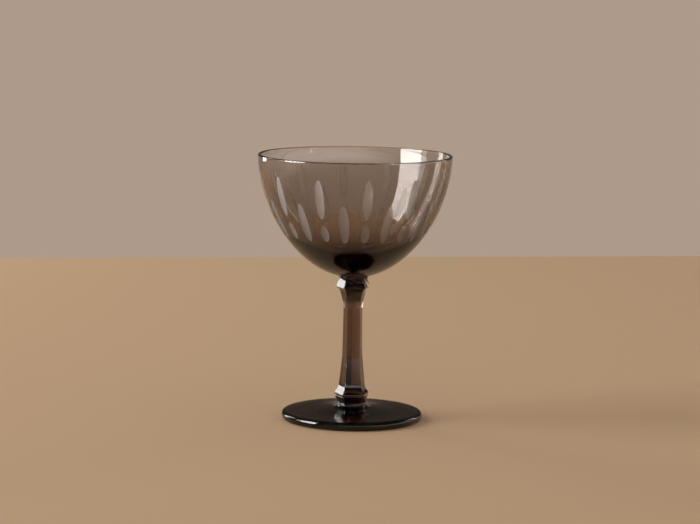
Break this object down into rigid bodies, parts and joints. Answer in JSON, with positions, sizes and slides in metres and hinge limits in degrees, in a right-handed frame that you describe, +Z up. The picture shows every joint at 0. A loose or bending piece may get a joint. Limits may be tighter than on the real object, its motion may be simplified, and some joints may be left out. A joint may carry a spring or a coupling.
{
  "type": "nick and nora glass",
  "caption": "Stemmed cocktail glass with an open rounded bowl ground with upright oval cuts, a panel-cut stem with a knop at each end, and a heavy round foot.",
  "frame": {"origin": "on the stem's axis, on the surface that the foot stands on", "axes": "+Z up along the stem's axis towards the rim; -Y is the side that faces the camera in the picture"},
  "size_m": [0.095, 0.095, 0.1306],
  "materials": {
    "foot_glass": "smoke-tinted glass, fire-polished, nearly black where it is thick",
    "stem_glass": "smoke-tinted glass, ground to panels and polished",
    "bowl_glass": "smoke-tinted blown glass, polished, with satin ground cuts on the outside"
  },
  "bodies": {
    "root": {"foot": "foot_glass", "lower_merese": "stem_glass", "stem": "stem_glass", "upper_merese": "stem_glass", "bowl": "bowl_glass"}
  },
  "joints": []
}
